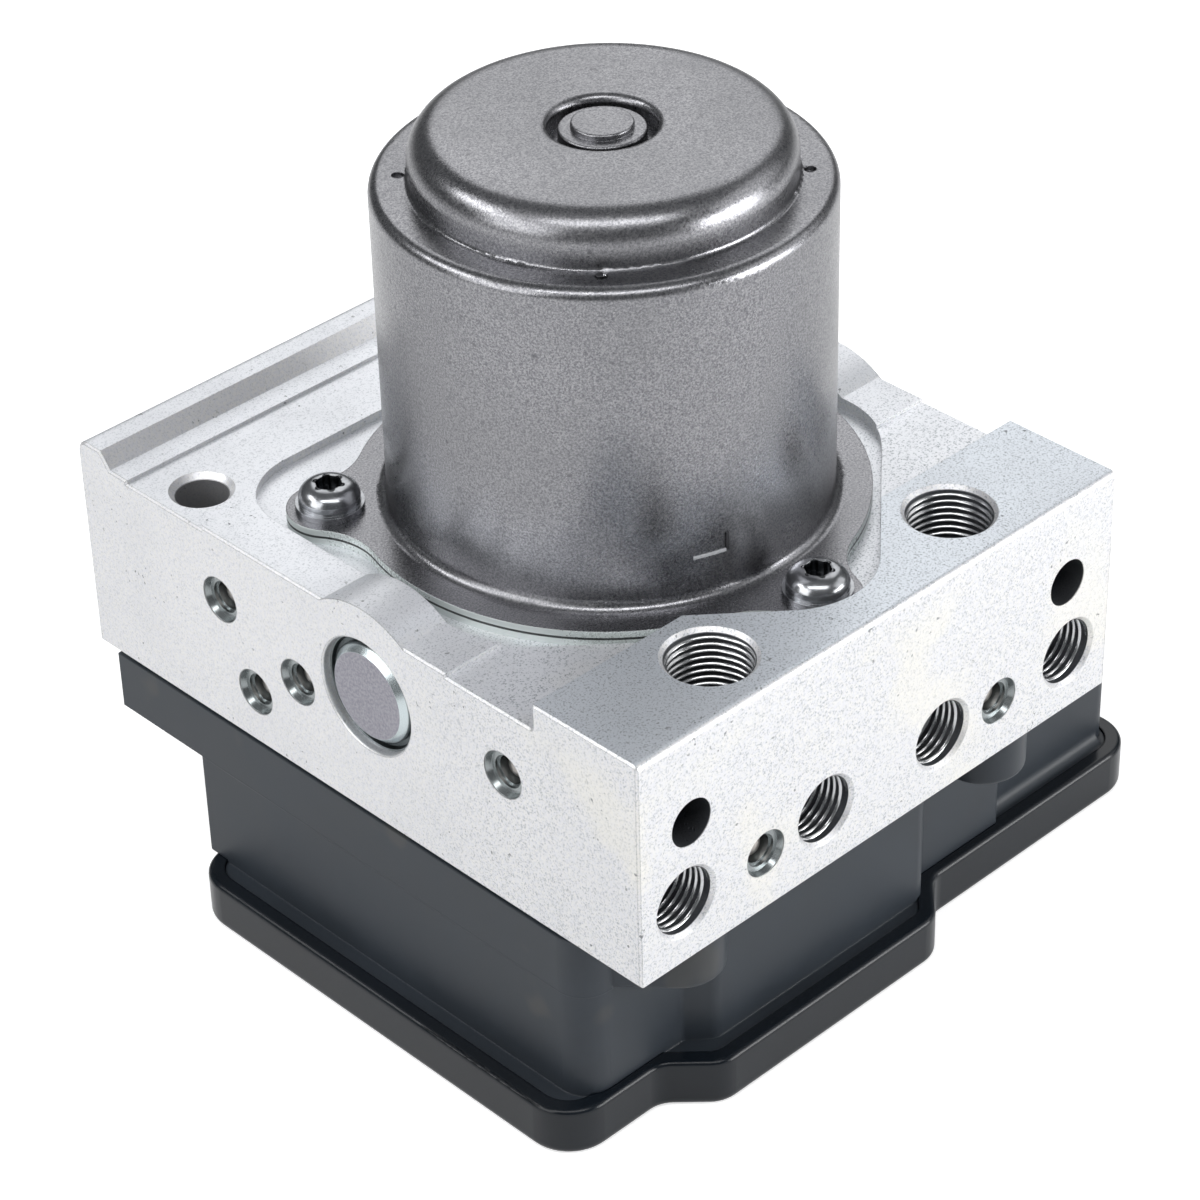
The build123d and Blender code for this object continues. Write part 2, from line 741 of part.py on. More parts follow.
# Pump elements: sleeve, piston, spring and plug on each side of the eccentric
piston_tip_x = ring_radius + eccentric_offset + piston_clearance
piston_end_x = piston_tip_x + piston_length
plug_inner_x = side_x - pump_plug_recess - pump_plug_length
groove_x = side_x - pump_plug_groove
groove_radius = pump_plug_disc_radius + pump_plug_chamfer
plug_section = [
    (plug_inner_x, 0),
    (plug_inner_x, pump_plug_radius),
    (groove_x + pump_plug_bead, pump_plug_radius),
    (groove_x + pump_plug_bead, pump_plug_radius - pump_plug_bead / 2),
    (groove_x, pump_plug_radius - pump_plug_bead),
    (groove_x, groove_radius),
    (side_x - pump_plug_recess - pump_plug_chamfer, groove_radius),
    (side_x - pump_plug_recess, pump_plug_disc_radius),
    (side_x - pump_plug_recess, 0),
]
for side, name in ((-1, "left"), (1, "right")):
    with BuildPart() as sleeve:
        with BuildSketch(Plane((side * (crank_bore_radius + 1), 0, pump_z), z_dir=(side, 0, 0))):
            Circle(sleeve_radius)
            Circle(sleeve_radius - sleeve_wall, mode=Mode.SUBTRACT)
        extrude(amount=plug_inner_x - crank_bore_radius - 1)
    save(sleeve, f"pump_sleeve_{name}")

    with BuildPart() as piston:
        with BuildSketch(Plane((side * piston_tip_x, 0, pump_z), z_dir=(side, 0, 0))):
            Circle(piston_radius)
        extrude(amount=piston_length)
        chamfer(piston.edges().filter_by(GeomType.CIRCLE), length=0.4)
        with Locations(Plane((side * piston_end_x, 0, pump_z), z_dir=(side, 0, 0))):
            Hole(1.2, depth=piston_length - 4)
    save(piston, f"pump_piston_{name}")

    start = (side * piston_end_x, 0, pump_z)
    end = (side * plug_inner_x, 0, pump_z)
    save(spring(2.8, start, end, (side, 0, 0)), f"pump_spring_{name}")

    with BuildPart() as plug:
        with BuildSketch(Plane.XY.offset(pump_z)):
            with BuildLine():
                Polyline(*[(side * x, radius) for x, radius in plug_section], close=True)
            make_face()
        revolve(axis=Axis((0, 0, pump_z), (1, 0, 0)))
    save(plug, f"pump_plug_{name}")

# Accumulators: cup piston, spring and cap in each bore
piston_top_z = base_z + accumulator_depth
cup_length = accumulator_depth - accumulator_cap_length - accumulator_travel - 0.5
for side, name in ((-1, "left"), (1, "right")):
    place = (side * accumulator_x, accumulator_y)
    with BuildPart() as cup:
        with BuildSketch(Plane.XY.offset(piston_top_z - cup_length)):
            with Locations(place):
                Circle(accumulator_radius - fit_gap)
        extrude(amount=cup_length)
        with Locations(Plane((*place, piston_top_z - cup_length), z_dir=(0, 0, -1))):
            Hole(accumulator_radius - accumulator_wall, depth=cup_length - accumulator_wall)
    save(cup, f"accumulator_piston_{name}")

    start = (*place, base_z + accumulator_cap_length)
    end = (*place, piston_top_z - accumulator_wall)
    save(spring(accumulator_radius - 3, start, end, (0, 0, 1)), f"accumulator_spring_{name}")

    with BuildPart() as cap:
        with BuildSketch(Plane.XY.offset(base_z)):
            with Locations(place):
                Circle(accumulator_radius)
        extrude(amount=accumulator_cap_length)
        with Locations((*place, base_z + accumulator_cap_length)):
            Hole(1.2, depth=accumulator_cap_length)
    save(cap, f"accumulator_cap_{name}")

# Solenoid valves and the coils round their domes
dome_end_z = base_z - valve_dome_length
for row, y, length in (
    ("inlet", inlet_valve_y, inlet_valve_length),
    ("outlet", outlet_valve_y, outlet_valve_length),
):
    for number, x in enumerate(valve_columns, start=1):
        with BuildPart() as valve:
            with BuildSketch(Plane.XY.offset(dome_end_z)):
                with Locations((x, y)):
                    Circle(valve_dome_radius)
            extrude(amount=valve_dome_length)
            with BuildSketch(Plane.XY.offset(base_z)):
                with Locations((x, y)):
                    Circle(valve_collar_radius)
            extrude(amount=valve_collar_length)
            with BuildSketch(Plane.XY.offset(base_z + valve_collar_length)):
                with Locations((x, y)):
                    Circle(valve_body_radius)
            extrude(amount=length - valve_collar_length)
            chamfer(valve.faces().sort_by(Axis.Z)[0].edges(), length=valve_dome_chamfer)
        save(valve, f"{row}_valve_{number}")

        with BuildPart() as coil:
            with BuildSketch(Plane.XY.offset(coil_z)):
                with Locations((x, y)):
                    Circle(coil_radius)
            extrude(amount=coil_flange)
            with BuildSketch(Plane.XY.offset(coil_z)):
                with Locations((x, y)):
                    Circle(coil_radius - 0.8)
            extrude(amount=coil_length)
            with BuildSketch(Plane.XY.offset(coil_z + coil_length - coil_flange)):
                with Locations((x, y)):
                    Circle(coil_radius)
            extrude(amount=coil_flange)
            with Locations((x, y, coil_z + coil_length)):
                Hole(valve_dome_radius + coil_clearance, depth=coil_length)
            with BuildSketch(Plane.XY.offset(board_z + board_thickness)):
                with Locations((x, y + contact_offset)):
                    with GridLocations(contact_spacing, 1, 2, 1):
                        Rectangle(contact_width, contact_width)
            extrude(amount=coil_z + coil_flange - board_z - board_thickness)
        save(coil, f"{row}_coil_{number}")

# Electronics housing: foot, walls with panels, upper tier with lobes, and the connector shroud
connector_left = side_x + connector_gap
connector_right = connector_left + connector_width
connector_front = port_face_y + connector_setback
connector_back = connector_front + connector_length
connector_top_z = base_z + connector_rise
panel_left_y = port_face_y + panel_left_setback
panel_right_y = port_face_y + panel_right_setback
wall_run = 3.5
window_gap = 0.4
window_x = valve_columns[-1] + coil_radius + window_gap
window_front = inlet_valve_y - coil_radius - window_gap
window_back = outlet_valve_y + coil_radius + window_gap
rear_room_back = body_back - housing_wall
seal_outer_x = side_x - seal_inset
seal_front = window_front - seal_width - 0.9
seal_back = rear_room_back - 0.2
pin_rows = [(x, y) for x in (-2.7, 0, 2.7) for y in (i * 2.5 - 17.5 for i in range(10))]
blade_rows = [(x, y) for x in (-3.2, 3.2) for y in (12.5, 17.5)]
connector_x = (connector_left + connector_right) / 2
connector_y = (connector_front + connector_back) / 2

with BuildSketch() as body_outline:
    with BuildLine():
        FilletPolyline(
            (left_wall_x, body_back),
            (left_wall_x, panel_left_y),
            (panel_left_x, panel_left_y),
            (panel_left_x + wall_run, bump_wall_y),
            (bump_right + 2, bump_wall_y),
            (bump_right + 4, panel_right_y),
            (panel_right_x, panel_right_y),
            (panel_right_x, connector_front),
            (connector_right, connector_front),
            (connector_right, body_back),
            radius=[0.6, 4.5, 1.0, 2.5, 2.5, 0.8, 1.0, 0.5, connector_corner, 6.0],
            close=True,
        )
    make_face()

with BuildSketch() as tier_outline:
    with BuildSketch() as left_lobe:
        with Locations((-lobe_x, lobe_y)):
            Circle(lobe_radius)
        with Locations((-side_x + 2, tier_front - 3)):
            Circle(2)
        with Locations((-lobe_x, 0)):
            Circle(2)
        make_hull()
    with Locations((lobe_x, lobe_y)):
        Circle(lobe_radius)
    with BuildLine():
        Polyline(
            (-side_x, 0),
            (-side_x, tier_front),
            (side_x, tier_front),
            (side_x, 0),
            close=True,
        )
    make_face()

with BuildSketch(Plane.YZ) as tier_profile:
    with BuildLine():
        Polyline(
            (tier_front, tier_z),
            (tier_back, tier_z),
            (tier_back, housing_top_z),
            (tier_front, housing_top_z),
            close=True,
        )
    make_face()
    rear_corner = tier_profile.vertices().sort_by_distance((0, tier_back, tier_z))[0]
    fillet(rear_corner, radius=tier_edge_radius)

# Cove at the foot of the recessed wall
bend = foot_fillet * (1 - cos(radians(45)))
with BuildSketch(Plane.YZ.offset(panel_right_x)) as cove:
    with BuildLine():
        Polyline(
            (connector_front, lip_height + foot_fillet),
            (connector_front + housing_wall, lip_height + foot_fillet),
            (connector_front + housing_wall, lip_height),
            (connector_front - foot_fillet, lip_height),
        )
        ThreePointArc(
            (connector_front - foot_fillet, lip_height),
            (connector_front - bend, lip_height + bend),
            (connector_front, lip_height + foot_fillet),
        )
    make_face()

with BuildPart() as ecu_housing:
    with BuildSketch(Plane.XY.offset(cover_floor)):
        add(rim_outline(lip_inset))
    extrude(amount=lip_height - cover_floor)
    with BuildSketch(Plane.XY.offset(lip_height)):
        add(body_outline.sketch)
        add(rim_outline(lip_inset), mode=Mode.INTERSECT)
    extrude(amount=cover_height + cover_gap - lip_height)
    with BuildSketch(Plane.XY.offset(cover_height + cover_gap)):
        add(body_outline.sketch)
    extrude(amount=side_deck_z - cover_height - cover_gap)
    with BuildSketch(Plane.XY.offset(side_deck_z)):
        add(body_outline.sketch)
        with Locations((connector_left + connector_wall / 2 + connector_width, 0)):
            Rectangle(connector_width * 2, block_depth * 2, mode=Mode.SUBTRACT)
    extrude(amount=housing_top_z - side_deck_z)
    with BuildSketch(Plane.XY.offset(tier_z)):
        add(tier_outline.sketch)
    extrude(amount=housing_top_z - tier_z)
    extrude(tier_profile.sketch, amount=side_x, both=True)
    for side in (-1, 1):
        lobe_edges = ecu_housing.edges().filter_by(GeomType.CIRCLE)
        lobe_edges = lobe_edges.sort_by_distance((side * lobe_x, lobe_y - lobe_radius, tier_z))
        fillet(lobe_edges[0], radius=lobe_edge_radius)
    with BuildSketch(Plane.XY.offset(cover_height + cover_gap)):
        with Locations((connector_x, connector_y)):
            RectangleRounded(connector_width, connector_length, connector_corner)
    extrude(amount=connector_top_z - cover_height - cover_gap)
    extrude(cove.sketch, amount=connector_right - connector_corner - panel_right_x)

    # Board room, coil room and the room for the tall parts at the back
    with BuildSketch(Plane.XY.offset(cover_floor)):
        add(rim_outline(wall_inset + housing_wall))
    extrude(amount=divider_z - cover_floor, mode=Mode.SUBTRACT)
    with BuildSketch(Plane.XY.offset(coil_z)):
        with Locations((0, (window_front + window_back) / 2)):
            RectangleRounded(2 * window_x, window_back - window_front, 3)
    extrude(amount=housing_top_z - coil_z, mode=Mode.SUBTRACT)
    with BuildSketch(Plane.XY.offset(divider_z)):
        with Locations((0, (window_back + housing_wall + rear_room_back) / 2)):
            RectangleRounded(2 * (side_x - 3), rear_room_back - window_back - housing_wall, 3)
    extrude(amount=housing_top_z - roof_thickness - divider_z, mode=Mode.SUBTRACT)

    # Ribbed underside of the tier with the two screw bosses
    with BuildSketch(Plane.XY.offset(tier_z)):
        with Locations((0, (body_back + tier_back - housing_wall) / 2)):
            Rectangle(block_width - 2 * housing_wall, tier_back - housing_wall - body_back)
        with Locations((-corner_bore_x, corner_bore_y), (corner_bore_x, corner_bore_y)):
            Circle(5.2, mode=Mode.SUBTRACT)
        with GridLocations(19, 1, 4, 1):
            with Locations((0, (body_back + tier_back) / 2)):
                Rectangle(1.8, tier_back - body_back, mode=Mode.SUBTRACT)
    extrude(amount=tier_height - seal_gap - roof_thickness, mode=Mode.SUBTRACT)
    for side in (-1, 1):
        with Locations((side * corner_bore_x, corner_bore_y, housing_top_z)):
            Hole(housing_screw_radius, depth=tier_height)

    # Groove of the seal, opening for the motor leads and slots for the coil contacts
    with BuildSketch(Plane.XY.offset(housing_top_z)):
        with Locations((0, (seal_front + seal_back) / 2)):
            RectangleRounded(2 * seal_outer_x, seal_back - seal_front, 4)
            RectangleRounded(
                2 * (seal_outer_x - seal_width),
                seal_back - seal_front - 2 * seal_width,
                4 - seal_width,
                mode=Mode.SUBTRACT,
            )
    extrude(amount=-seal_depth, mode=Mode.SUBTRACT)
    with Locations((0, lead_y, housing_top_z)):
        Hole(lead_bore_radius + cover_gap, depth=roof_thickness)
    with BuildSketch(Plane.XY.offset(divider_z)):
        for y in (inlet_valve_y, outlet_valve_y):
            for x in valve_columns:
                with Locations((x, y + contact_offset)):
                    with GridLocations(contact_spacing, 1, 2, 1):
                        Rectangle(contact_width + 2 * slot_gap, contact_width + 2 * slot_gap)
    extrude(amount=divider_thickness, mode=Mode.SUBTRACT)

    # Connector socket, its pin slots and a keying rib
    with BuildSketch(Plane.XY.offset(connector_floor_z)):
        with Locations((connector_x, connector_y)):
            RectangleRounded(
                connector_width - 2 * connector_wall, connector_length - 2 * connector_wall, 1.5
            )
            with Locations((connector_wall - connector_width / 2, 10)):
                Rectangle(2.4, 1.6, mode=Mode.SUBTRACT)
    extrude(amount=connector_top_z - connector_floor_z, mode=Mode.SUBTRACT)
    with BuildSketch(Plane.XY.offset(divider_z)):
        with Locations((connector_x, connector_y)):
            with Locations(*pin_rows):
                Rectangle(0.7, 0.7)
            with Locations(*blade_rows):
                Rectangle(0.9, 2.9)
    extrude(amount=connector_floor_z - divider_z, mode=Mode.SUBTRACT)

    # Pins that locate the housing in the block, and posts down to the board
    with BuildSketch(Plane.XY.offset(housing_top_z)):
        with Locations((-lobe_x, lobe_y), (lobe_x, lobe_y)):
            Circle(locating_pin_radius)
    extrude(amount=locating_pin_height)
    with BuildSketch(Plane.XY.offset(board_z + board_thickness)):
        with Locations((-36, -4), (-10, -20), (10, -20), (36, -4)):
            Circle(2)
    extrude(amount=divider_z - board_z - board_thickness)
save(ecu_housing, "ecu_housing")

with BuildPart() as housing_seal:
    with BuildSketch(Plane.XY.offset(housing_top_z - seal_depth)):
        with Locations((0, (seal_front + seal_back) / 2)):
            RectangleRounded(2 * seal_outer_x, seal_back - seal_front, 4)
            RectangleRounded(
                2 * (seal_outer_x - seal_width),
                seal_back - seal_front - 2 * seal_width,
                4 - seal_width,
                mode=Mode.SUBTRACT,
            )
    extrude(amount=seal_depth + seal_gap)
save(housing_seal, "housing_seal")

# Tray-shaped cover with a shallow groove and a vent recess underneath
with BuildPart() as ecu_cover:
    with BuildSketch():
        add(rim_outline(0))
    extrude(amount=cover_height)
    fillet(ecu_cover.faces().sort_by(Axis.Z)[0].edges(), radius=cover_edge_radius)
    fillet(ecu_cover.faces().sort_by(Axis.Z)[-1].edges(), radius=cover_top_radius)
    with BuildSketch(Plane.XY.offset(cover_floor)):
        add(rim_outline(lip_inset - cover_gap))
    extrude(amount=cover_height - cover_floor, mode=Mode.SUBTRACT)
    with BuildSketch():
        add(rim_outline(9))
        add(rim_outline(10.6), mode=Mode.SUBTRACT)
    extrude(amount=0.5, mode=Mode.SUBTRACT)
save(ecu_cover, "ecu_cover")

# Circuit board and the pins of the connector
with BuildPart() as circuit_board:
    with BuildSketch(Plane.XY.offset(board_z)):
        add(rim_outline(wall_inset + housing_wall + board_gap))
    extrude(amount=board_thickness)
save(circuit_board, "circuit_board")

with BuildPart() as connector_pins:
    with BuildSketch(Plane.XY.offset(board_z + board_thickness)):
        with Locations((connector_x, connector_y)):
            with Locations(*pin_rows):
                Rectangle(0.6, 0.6)
            with Locations(*blade_rows):
                Rectangle(0.8, 2.8)
    extrude(amount=connector_top_z - 7 - board_z - board_thickness)
save(connector_pins, "connector_pins")

# Screws in the corner bores that hold the housing to the block
seat_z = base_z + corner_seat_height
with BuildPart() as housing_screws:
    for side in (-1, 1):
        place = (side * corner_bore_x, corner_bore_y)
        with BuildSketch(Plane.XY.offset(tier_z + 0.5)):
            with Locations(place):
                Circle(housing_screw_radius - fit_gap)
        extrude(amount=seat_z - tier_z - 0.5)
        with BuildSketch(Plane.XY.offset(seat_z)):
            with Locations(place):
                Circle(corner_bore_radius - 0.2)
                RegularPolygon(1.9, 6, mode=Mode.SUBTRACT)
        extrude(amount=3)
        with BuildSketch(Plane.XY.offset(seat_z)):
            with Locations(place):
                Circle(corner_bore_radius - 0.2)
        extrude(amount=1.2)
save(housing_screws, "housing_screws")

# Expander plugs of the front and of both sides
plug_floor = ball_drop + 2 * ball_radius
sleeve_section = [
    (0, plug_floor),
    (ball_radius, plug_floor),
    (ball_radius, plug_bore_drop),
    (plug_bore_radius, plug_bore_drop),
    (plug_bore_radius, plug_ledge_drop),
    (plug_mouth_radius, plug_ledge_drop),
    (plug_radius, 0.1),
    (plug_radius, plug_length),
    (0, plug_length),
]
front_places = [(side * plug_spacing_x, port_face_y, base_z + plug_height) for side in (-1, 1)]
left_places = [(-side_x, port_face_y + y, base_z + z) for y, z in side_plug_places]
right_places = [(side_x, port_face_y + y, base_z + z) for y, z in side_plug_places]
plug_groups = [
    ("front", front_places, (0, -1, 0)),
    ("left", left_places, (-1, 0, 0)),
    ("right", right_places, (1, 0, 0)),
]
for name, places, direction in plug_groups:
    with BuildPart() as sleeves:
        for place in places:
            inward = -Vector(*direction)
            with BuildSketch(Plane(place, x_dir=(0, 0, 1), z_dir=Vector(0, 0, 1).cross(inward))):
                with BuildLine():
                    Polyline(*sleeve_section, close=True)
                make_face()
            revolve(axis=Axis(place, direction))
    save(sleeves, f"{name}_ball_plugs")

with BuildPart() as plug_balls:
    for _, places, direction in plug_groups:
        for place in places:
            with Locations(Vector(*place) - Vector(*direction) * (ball_drop + ball_radius)):
                Sphere(ball_radius - fit_gap)
save(plug_balls, "plug_balls")
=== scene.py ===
import json
import math
import random

import bpy
from mathutils import Matrix, Vector


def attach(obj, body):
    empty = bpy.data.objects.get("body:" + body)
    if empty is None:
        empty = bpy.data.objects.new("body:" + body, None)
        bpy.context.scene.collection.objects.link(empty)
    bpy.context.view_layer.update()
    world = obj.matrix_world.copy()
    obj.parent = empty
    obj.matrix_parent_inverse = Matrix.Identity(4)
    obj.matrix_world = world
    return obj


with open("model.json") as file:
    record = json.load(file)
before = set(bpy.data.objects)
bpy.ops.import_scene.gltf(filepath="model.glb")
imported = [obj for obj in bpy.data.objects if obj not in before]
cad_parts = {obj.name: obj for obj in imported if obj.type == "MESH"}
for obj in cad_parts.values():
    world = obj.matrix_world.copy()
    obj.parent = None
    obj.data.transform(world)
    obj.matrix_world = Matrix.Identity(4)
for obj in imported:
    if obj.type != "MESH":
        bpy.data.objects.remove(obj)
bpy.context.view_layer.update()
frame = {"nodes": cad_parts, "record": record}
MM = 0.001

# Places of the real pieces, in millimetres in the part's own frame
FRONT_Y = -49.0
LEFT_X = -44.0
BASE_Z = 33.0
MILLED_Z = 63.2
BAR_Z = 67.0
PORT_X = (11.0, 36.0)
PORT_Z = BASE_Z + 9.0
PORT_R = 4.68
INLET_X = 22.0
INLET_Y = FRONT_Y + 9.5
INLET_R = 5.68
MOUNTING_HOLE = (35.0, 53.8)
MOUNTING_R = 3.35
CORNER_BORE = (37.8, 38.7)
CORNER_R = 3.6
PUMP_Z = 52.3
DISC_R = 6.2
GROOVE_R = 7.2
PLUG_R = 8.3
CAN_R = 29.5
FLANGE_R = 34.3
FLANGE_SEAM_Z = 63.1
SHOULDER_Z = 110.1
DOME_Z = 117.2
SCREWS = ((0.0, -37.0), (29.55, 22.27))
SCREW_TOP_Z = 67.8
DRIVE_R = 2.2
RIM_X = -48.6
COVER_TOP_Z = 7.4

# Places of the marks: the mould line's height, the dent's x and z, and the pit's x and y
MOULD_LINE_Z = 23.7
DENT = (-3.1, 67.1)
VENT_PIT = (-18.05, -17.8)


# Node helpers
class Shader:
    """A node material with a Principled shader and short ways to add the usual nodes."""

    def __init__(self, name):
        self.material = bpy.data.materials.new(name)
        self.material.use_nodes = True
        self.nodes = self.material.node_tree.nodes
        self.links = self.material.node_tree.links
        self.nodes.clear()
        output = self.nodes.new("ShaderNodeOutputMaterial")
        self.bsdf = self.nodes.new("ShaderNodeBsdfPrincipled")
        self.links.new(self.bsdf.outputs[0], output.inputs[0])
        self.place = self.nodes.new("ShaderNodeTexCoord").outputs["Object"]
        self.geometry = self.nodes.new("ShaderNodeNewGeometry")

    def feed(self, socket, value):
        """Link value to the socket, or write it there where it is a plain number."""
        if hasattr(value, "is_linked"):
            self.links.new(value, socket)
        else:
            socket.default_value = value

    def surface(self, colour, metallic, roughness):
        """Feed the shader's three main inputs."""
        self.feed(self.bsdf.inputs["Base Color"], colour)
        self.feed(self.bsdf.inputs["Metallic"], metallic)
        self.feed(self.bsdf.inputs["Roughness"], roughness)

    def noise(self, scale, detail=3.0, rough=0.6, stretch=None):
        """Noise on the object's own coordinates. scale is per metre, stretch a factor for each axis."""
        node = self.nodes.new("ShaderNodeTexNoise")
        node.inputs["Scale"].default_value = scale
        node.inputs["Detail"].default_value = detail
        node.inputs["Roughness"].default_value = rough
        place = self.place
        if stretch:
            mapping = self.nodes.new("ShaderNodeMapping")
            mapping.inputs["Scale"].default_value = stretch
            self.links.new(place, mapping.inputs[0])
            place = mapping.outputs[0]
        self.links.new(place, node.inputs["Vector"])
        return node.outputs["Fac"]

    def rings(self, radius, scale):
        """Noise that changes with the radius alone."""
        node = self.nodes.new("ShaderNodeTexNoise")
        node.noise_dimensions = "1D"
        node.inputs["Scale"].default_value = scale
        node.inputs["Detail"].default_value = 1.0
        self.links.new(radius, node.inputs["W"])
        return node.outputs["Fac"]

    def math(self, operation, a, b=0.0):
        node = self.nodes.new("ShaderNodeMath")
        node.operation = operation
        self.feed(node.inputs[0], a)
        self.feed(node.inputs[1], b)
        return node.outputs[0]

    def times(self, first, *others):
        """Product of the values."""
        result = first
        for value in others:
            result = self.math("MULTIPLY", result, value)
        return result

    def plus(self, first, *others):
        """Sum of the values."""
        result = first
        for value in others:
            result = self.math("ADD", result, value)
        return result

    def size(self, u, v):
        """Length of the flat vector u, v."""
        return self.math("SQRT", self.plus(self.times(u, u), self.times(v, v)))

    def ramp(self, value, low, high, to_low=0.0, to_high=1.0):
        """Smooth step of value from low to high, which may also run downwards."""
        node = self.nodes.new("ShaderNodeMapRange")
        node.interpolation_type = "SMOOTHSTEP"
        self.links.new(value, node.inputs["Value"])
        node.inputs["From Min"].default_value = low
        node.inputs["From Max"].default_value = high
        node.inputs["To Min"].default_value = to_low
        node.inputs["To Max"].default_value = to_high
        return node.outputs[0]

    def mix(self, factor, a, b):
        """Colour a where factor is 0, and b where it is 1."""
        node = self.nodes.new("ShaderNodeMix")
        node.data_type = "RGBA"
        self.links.new(factor, node.inputs[0])
        for socket, value in ((node.inputs[6], a), (node.inputs[7], b)):
            if isinstance(value, tuple):
                socket.default_value = (*value, 1.0)
            else:
                self.links.new(value, socket)
        return node.outputs[2]

    def axes(self, vector):
        """The x, y and z of a vector."""
        node = self.nodes.new("ShaderNodeSeparateXYZ")
        self.links.new(vector, node.inputs[0])
        return node.outputs

    def normal(self, axis):
        """The surface normal's part along the axis of that number."""
        return self.axes(self.geometry.outputs["Normal"])[axis]

    def upright(self):
        """1 on walls and 0 on level faces."""
        return self.ramp(self.math("ABSOLUTE", self.normal(2)), 0.5, 0.3)

    def band(self, value, centre, half, soft):
        """1 where value is within half of centre, fading to 0 over soft."""
        distance = self.math("ABSOLUTE", self.math("SUBTRACT", value, centre))
        return self.ramp(distance, half, half + soft, 1.0, 0.0)

    def far(self, u, v, centre):
        """Distance in metres of the plane coordinates u, v from a centre in millimetres."""
        return self.size(self.math("SUBTRACT", u, centre[0] * MM), self.math("SUBTRACT", v, centre[1] * MM))

    def bore(self, u, v, along, centre, radius, start, end):
        """1 inside a round hole of that radius, between two places along its axis, all in millimetres."""
        inside = self.ramp(self.far(u, v, centre), (radius + 0.10) * MM, (radius + 0.06) * MM)
        past = self.ramp(along, start * MM, (start + 0.08) * MM)
        before = self.ramp(along, end * MM, (end - 0.5) * MM)
        return self.times(inside, past, before)

    def bevel(self, radius):
        """Normals that are rounded within radius metres of an edge."""
        node = self.nodes.new("ShaderNodeBevel")
        node.samples = 4
        node.inputs["Radius"].default_value = radius
        return node.outputs[0]

    def edges(self, radius):
        """1 on sharp edges, fading to 0 within radius metres of them."""
        dot = self.nodes.new("ShaderNodeVectorMath")
        dot.operation = "DOT_PRODUCT"
        self.links.new(self.bevel(radius), dot.inputs[0])
        self.links.new(self.geometry.outputs["True Normal"], dot.inputs[1])
        return self.ramp(dot.outputs["Value"], 0.995, 0.85)

    def bump(self, height, distance, strength, edge=0.0):
        """Fine relief, on normals that are rounded at the edges where edge isn't 0."""
        node = self.nodes.new("ShaderNodeBump")
        node.inputs["Strength"].default_value = strength
        node.inputs["Distance"].default_value = distance
        self.links.new(height, node.inputs["Height"])
        if edge:
            self.links.new(self.bevel(edge), node.inputs["Normal"])
        self.links.new(node.outputs[0], self.bsdf.inputs["Normal"])


def shade(colour, factor):
    return tuple(factor * c for c in colour)


# Materials
def painted_shade_holes(s, x, y, z):
    """1 inside the wheel ports, the inlet ports and the mounting holes, where the block's colour is darkened
    with painted shade.
    """
    side = s.math("ABSOLUTE", x)
    start, end = FRONT_Y + 0.5, FRONT_Y + 19.0
    dark = s.bore(side, z, y, (PORT_X[1], PORT_Z), PORT_R, start, end)
    for hole in (
        s.bore(side, z, y, (PORT_X[0], PORT_Z), PORT_R, start, end),
        s.bore(side, y, z, (INLET_X, INLET_Y), INLET_R, BAR_Z - 17.0, BAR_Z - 0.1),
        s.bore(side, z, y, MOUNTING_HOLE, MOUNTING_R, FRONT_Y + 0.1, end),
    ):
        dark = s.math("MAXIMUM", dark, hole)
    return dark


